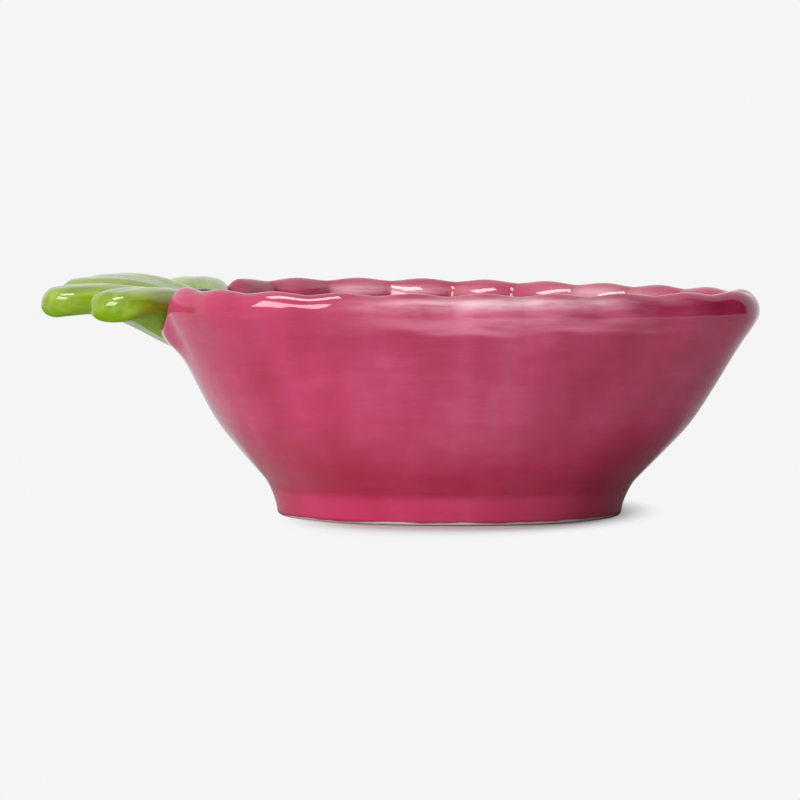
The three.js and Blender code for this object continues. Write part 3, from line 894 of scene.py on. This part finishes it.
def sepal(name):
    """A rounded tongue from its root by the hub to its tip, with a shallow vein along its top."""
    length = SEPAL_LENGTHS[name]
    heading = math.radians(SEPAL_SPREAD_DEGREES[name])
    along = np.array([-math.cos(heading), -math.sin(heading)])
    across = np.array([-along[1], along[0]])
    crest = LIP_TOP + SEPAL_RISES[name]
    top_line = [
        (SEPAL_ROOT_START, crest - SEPAL_ROOT_DROP),
        (length * SEPAL_CREST_SHARE, crest + (SEPAL_ROOT_DROP + SEPAL_TIP_DROP) / 2),
        (length, crest - SEPAL_TIP_DROP),
    ]
    thinning_end = SEPAL_THINNING_START + SEPAL_THINNING_LENGTH
    angle = 2 * math.pi * np.arange(SEPAL_POINTS) / SEPAL_POINTS
    cosine, sine = np.cos(angle), np.sin(angle)
    vein = np.exp(-(cosine / VEIN_WIDTH) ** 2) * (sine > 0)
    underside = UNDERSIDE_SHADE * smooth_step(-sine, *UNDERSIDE_RANGE) + VEIN_SHADE * vein
    reflection_below = math.cos(heading) ** ROOT_REFLECTION_FOCUS * smooth_step(-sine, *ROOT_REFLECTION_RANGE)
    thin_edges = smooth_step(np.abs(cosine), *THIN_SIDE_RANGE) * smooth_step(sine, *THIN_UPPER_RANGE)
    strokes_apart = np.array([0, heading, 0])
    rings, places, thin, pale = [], [], [], []
    for i in range(SEPAL_STATIONS):
        eased = math.sin(i / (SEPAL_STATIONS - 1) * math.pi / 2)
        distance = mix(SEPAL_ROOT_START, length, eased)
        narrowing = rounding(distance - length + SEPAL_TIP_LENGTH, SEPAL_TIP_LENGTH)
        flattening = rounding(distance - length + SEPAL_TIP_ROUNDING, SEPAL_TIP_ROUNDING)
        thinning = smooth_step(distance, SEPAL_THINNING_START, thinning_end)
        depth = mix(SEPAL_ROOT_DEPTH, SEPAL_THICKNESS, thinning)
        widening = smooth_step(distance, 0, SEPAL_WIDTH_SHARE * length)
        half_width = mix(SEPAL_ROOT_WIDTH, SEPAL_WIDTH, widening) / 2
        sideways = half_width * narrowing * fuller(cosine)
        plan = CALYX_MIDDLE + along * distance + across * sideways[:, None]
        vein_cut = VEIN_DEPTH * vein * flattening * (1 - eased ** VEIN_FADE)
        upwards = depth / 2 * flattening * fuller(sine) - vein_cut
        height = bezier(top_line, eased)[1] - depth / 2 + upwards + CALYX_LEAN * plan[:, 1]
        rings.append(upright(plan, height))
        on_sepal = np.stack([np.full(SEPAL_POINTS, distance), sideways, height], -1)
        places.append(on_sepal + strokes_apart)
        # Painted reflection under the root
        pale.append(reflection_below * (1 - smooth_step(distance, ROOT_REFLECTION_START, ROOT_REFLECTION_END)))
        tip_fade = smooth_step(distance, length - 2 * SEPAL_TIP_LENGTH, length - SEPAL_TIP_LENGTH / 2)
        thin.append(THIN_SHARE * (1 - tip_fade) * thin_edges)
    piece = grid_mesh(f"sepal_{name}_glazed", rings, [LEAF])
    point_values(piece, "along_sepal", np.concatenate(places), "FLOAT_VECTOR")
    point_values(piece, "underside", np.tile(underside, SEPAL_STATIONS))
    point_values(piece, "thin", np.concatenate(thin))
    point_values(piece, "pale", np.concatenate(pale))
    return finish_piece(piece, "leaf_glaze", f"sepal_{name}")


def turned(name, radius, base, top, edge_width, edge_height, material):
    """A round body turned about the calyx's middle, with its upper edge rounded."""
    angle = 2 * math.pi * np.arange(TURNED_SEGMENTS) / TURNED_SEGMENTS
    around = np.stack([np.cos(angle), np.sin(angle)], -1)
    profile = [(radius, base)]
    for turn in np.linspace(0, math.pi / 2, TURNED_RINGS):
        drawn_in = edge_width * (1 - math.cos(turn))
        profile.append((radius - drawn_in, top - edge_height * (1 - math.sin(turn))))
    profile.append((profile[-1][0] / 2, top))
    rings = [upright(CALYX_MIDDLE + out * around, height + 0 * angle) for out, height in profile]
    return grid_mesh(name, rings, [material])


def calyx_hub():
    base = HUB_TOP - HUB_THICKNESS
    piece = turned("calyx_hub_glazed", HUB_RADIUS, base, HUB_TOP, HUB_EDGE_RADIUS, HUB_EDGE_RADIUS, LEAF)
    point_values(piece, "along_sepal", [vertex.co for vertex in piece.data.vertices], "FLOAT_VECTOR")
    return finish_piece(piece, "leaf_glaze", "calyx_hub")


def stalk_stub():
    base = HUB_TOP - HUB_THICKNESS
    width = STUB_RADIUS * (1 - 1 / TURNED_SEGMENTS)
    piece = turned("stalk_stub_glazed", STUB_RADIUS, base, HUB_TOP + STUB_RISE, width, STUB_DOME, DARK)
    return finish_piece(piece, "dark_glaze", "stalk_stub")


bowl_wall()
foot_ring()
for sepal_name in SEPAL_LENGTHS:
    sepal(sepal_name)
calyx_hub()
stalk_stub()


# Floor, light and camera

def combined(nodes, links, operation, first, second):
    node = nodes.new("ShaderNodeMath")
    node.operation = operation
    links.new(first, node.inputs[0])
    links.new(second, node.inputs[1])
    return node.outputs["Value"]


def product(nodes, links, first, second):
    return combined(nodes, links, "MULTIPLY", first, second)


def larger(nodes, links, first, second):
    return combined(nodes, links, "MAXIMUM", first, second)


def looked_at(nodes, links):
    """1 for rays that show a surface, straight or by a reflection, and 0 for those that only light it."""
    light_path = nodes.new("ShaderNodeLightPath")
    total = light_path.outputs["Is Camera Ray"]
    for kind in MIRROR_RAYS:
        total = larger(nodes, links, total, light_path.outputs[kind])
    return total


def away_from_bowl(nodes, links, scale, start, end, shift=0):
    """0 round the foot's middle and 1 away from it, by a distance that is scaled along each axis."""
    mapping = nodes.new("ShaderNodeMapping")
    mapping.vector_type = "TEXTURE"
    mapping.inputs["Location"].default_value = (FOOT_MIDDLE_X + shift, 0, 0)
    mapping.inputs["Scale"].default_value = tuple(1 / share for share in scale)
    links.new(nodes.new("ShaderNodeTexCoord").outputs["Object"], mapping.inputs["Vector"])
    distance = nodes.new("ShaderNodeVectorMath")
    distance.operation = "LENGTH"
    links.new(mapping.outputs["Vector"], distance.inputs[0])
    away = nodes.new("ShaderNodeMapRange")
    away.interpolation_type = "SMOOTHSTEP"
    away.inputs["From Min"].default_value = start
    away.inputs["From Max"].default_value = end
    links.new(distance.outputs["Value"], away.inputs["Value"])
    return away.outputs["Result"]


def stage_board(name, corners):
    """A flat board with four corners and a matt material, for the stage."""
    mesh = bpy.data.meshes.new(name)
    mesh.from_pydata(corners, [], [(0, 1, 2, 3)])
    piece = bpy.data.objects.new(name, mesh)
    bpy.context.scene.collection.objects.link(piece)
    material, nodes, links, shader = new_material(name)
    shader.inputs["Roughness"].default_value = MATT
    mesh.materials.append(material)
    return piece, nodes, links, shader


def floor():
    """A pale table top with the bowl's shadow, which runs out into the backdrop's grey, and a dark ring
    painted round the foot as its contact shadow.
    """
    size = FLOOR_HALF_SIZE
    corners = [(-size, -size, 0), (size, -size, 0), (size, size, 0), (-size, size, 0)]
    piece, nodes, links, shader = stage_board("floor", corners)
    # Painted contact shadow round the foot
    foot_edge = (2 / FOOT_LENGTH, 2 / FOOT_WIDTH, 1)
    off_painted_shadow = away_from_bowl(nodes, links, foot_edge, *PAINTED_SHADOW_FADE)
    colour = mixed(nodes, links, "MIX", off_painted_shadow, PAINTED_CONTACT_SHADOW, FLOOR_COLOUR)
    links.new(colour, shader.inputs["Base Color"])
    shader.inputs["Specular IOR Level"].default_value = 0
    light_path = nodes.new("ShaderNodeLightPath")
    shadow_end = (2 / SHADOW_LENGTH, 2 / SHADOW_WIDTH, 1)
    straight = away_from_bowl(nodes, links, shadow_end, SHADOW_FADE_START, 1, SHADOW_SHIFT)
    seen = product(nodes, links, straight, light_path.outputs["Is Camera Ray"])
    reflected = away_from_bowl(nodes, links, (1, 1, 1), SHADOW_LENGTH, REFLECTED_FADE_END, SHADOW_SHIFT)
    for kind in MIRROR_RAYS:
        seen = larger(nodes, links, seen, product(nodes, links, reflected, light_path.outputs[kind]))
    plain = nodes.new("ShaderNodeEmission")
    plain.inputs["Color"].default_value = (BACKGROUND_GREY, BACKGROUND_GREY, BACKGROUND_GREY, 1)
    blend = nodes.new("ShaderNodeMixShader")
    links.new(seen, blend.inputs["Fac"])
    links.new(shader.outputs["BSDF"], blend.inputs[1])
    links.new(plain.outputs["Emission"], blend.inputs[2])
    links.new(blend.outputs["Shader"], nodes["Material Output"].inputs["Surface"])


def world():
    """A grey backdrop for the camera and for reflections, and a soft light from all round."""
    setting = bpy.data.worlds.new("studio")
    bpy.context.scene.world = setting
    setting.use_nodes = True
    nodes = setting.node_tree.nodes
    links = setting.node_tree.links
    nodes.clear()
    output = nodes.new("ShaderNodeOutputWorld")
    ambient = nodes.new("ShaderNodeBackground")
    ambient.inputs["Color"].default_value = (1, 1, 1, 1)
    ambient.inputs["Strength"].default_value = AMBIENT
    backdrop = nodes.new("ShaderNodeBackground")
    backdrop.inputs["Color"].default_value = (BACKGROUND_GREY, BACKGROUND_GREY, BACKGROUND_GREY, 1)
    blend = nodes.new("ShaderNodeMixShader")
    links.new(looked_at(nodes, links), blend.inputs["Fac"])
    links.new(ambient.outputs["Background"], blend.inputs[1])
    links.new(backdrop.outputs["Background"], blend.inputs[2])
    links.new(blend.outputs["Shader"], output.inputs["Surface"])


RIGHTWARDS = Vector((math.cos(CAMERA_AZIMUTH), math.sin(CAMERA_AZIMUTH), 0))
TOWARDS_CAMERA = Vector((math.sin(CAMERA_AZIMUTH), -math.cos(CAMERA_AZIMUTH), 0))
AIM = Vector((FOOT_MIDDLE_X, 0, AIM_HEIGHT)) - AIM_LEFT_OF_FOOT * RIGHTWARDS


def softbox(name, place, size, watts, mirrored=True, lighting=True):
    """A soft light turned to the bowl, placed to the camera's right, towards it and up."""
    right, front, up = place
    light = bpy.data.lights.new(name, "AREA")
    light.shape = "RECTANGLE"
    light.size, light.size_y = size
    light.energy = watts
    lamp = bpy.data.objects.new(name, light)
    lamp.location = RIGHTWARDS * right + TOWARDS_CAMERA * front + Vector((0, 0, up))
    lamp.rotation_euler = (AIM - lamp.location).to_track_quat("-Z", "Y").to_euler()
    lamp.visible_camera = False
    lamp.visible_glossy = mirrored
    lamp.visible_diffuse = lighting
    bpy.context.scene.collection.objects.link(lamp)


def dark_board():
    """A dark board in front of the bowl's right side, unseen by the camera, that keeps light off it."""
    away = RIGHTWARDS * math.sin(BOARD_BEARING) + TOWARDS_CAMERA * math.cos(BOARD_BEARING)
    across = RIGHTWARDS * math.cos(BOARD_BEARING) - TOWARDS_CAMERA * math.sin(BOARD_BEARING)
    left = away * BOARD_DISTANCE - across * BOARD_HALF_WIDTH
    right = away * BOARD_DISTANCE + across * BOARD_HALF_WIDTH
    raised = Vector((0, 0, BOARD_HEIGHT))
    piece, nodes, links, shader = stage_board("dark_board", [left, right, right + raised, left + raised])
    shader.inputs["Base Color"].default_value = (BOARD_GREY, BOARD_GREY, BOARD_GREY, 1)
    piece.visible_camera = False


def camera():
    lens = bpy.data.cameras.new("camera")
    lens.sensor_width = SENSOR_WIDTH
    eye = bpy.data.objects.new("camera", lens)
    eye.location = Vector((AIM.x, AIM.y, CAMERA_HEIGHT)) + CAMERA_DISTANCE * TOWARDS_CAMERA
    look = AIM - eye.location
    eye.rotation_euler = look.to_track_quat("-Z", "Y").to_euler()
    lens.lens = SENSOR_WIDTH * look.length / (PICTURE_PIXELS * METRES_PER_PIXEL)
    lens.clip_end = CAMERA_SIGHT
    bpy.context.scene.collection.objects.link(eye)
    bpy.context.scene.camera = eye


floor()
world()
softbox("key", place=(-0.86, 0.5, 0.76), size=(0.38, 0.6), watts=4.6, mirrored=False)
softbox("window", place=(-0.86, 0.56, 0.78), size=(0.76, 0.5), watts=11, lighting=False)
softbox("front", place=(-0.5, 1.1, 0.22), size=(0.6, 0.16), watts=7.5, mirrored=False)
softbox("top", place=(-0.46, 0.02, 1.2), size=(0.36, 0.5), watts=6)
dark_board()
camera()
bpy.context.scene.view_settings.view_transform = "Standard"
